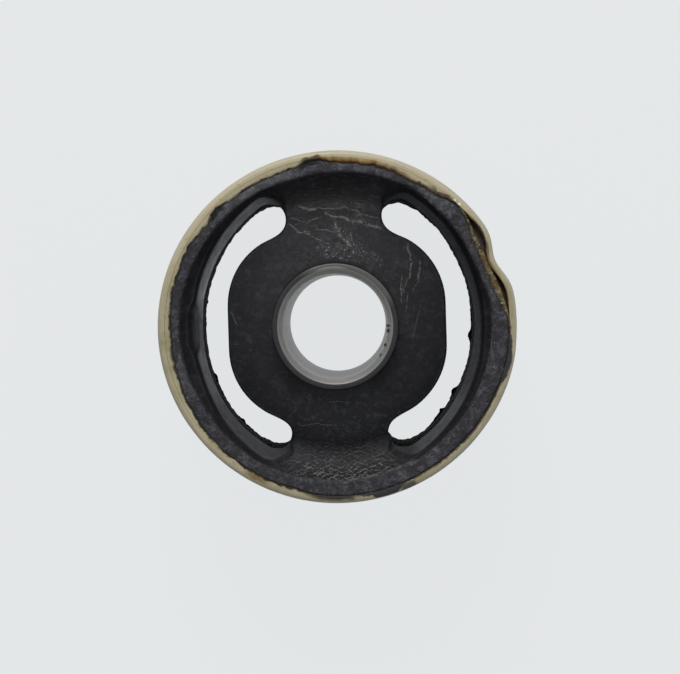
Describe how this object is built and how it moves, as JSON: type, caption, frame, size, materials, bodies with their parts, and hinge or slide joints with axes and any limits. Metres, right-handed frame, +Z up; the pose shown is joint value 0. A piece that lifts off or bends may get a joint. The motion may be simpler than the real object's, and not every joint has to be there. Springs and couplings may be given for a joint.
{
  "type": "rubber and metal bush",
  "caption": "Used rubber and metal bush: a dented thin steel sleeve round moulded black rubber with kidney voids, held on a chamfered steel bolt tube.",
  "frame": {"origin": "centre of the box's foot: level with the lower end of the inner sleeve, on the outer sleeve's axis", "axes": "+Z up the bush's axis, towards the damaged end; +X through the middle of one void and -X through the other; +Y through one rubber arm"},
  "size_m": [0.0688, 0.068, 0.05],
  "materials": {
    "worn_steel_sleeve": "tan coated steel, rubbed grey, stained brown at the damaged end",
    "aged_rubber": "satin black moulded rubber, dusty and torn along the voids",
    "turned_steel": "turned steel, dulled, with dark specks"
  },
  "bodies": {
    "root": {"outer_sleeve": "worn_steel_sleeve", "rubber_body": "aged_rubber", "inner_sleeve": "turned_steel"}
  },
  "joints": []
}
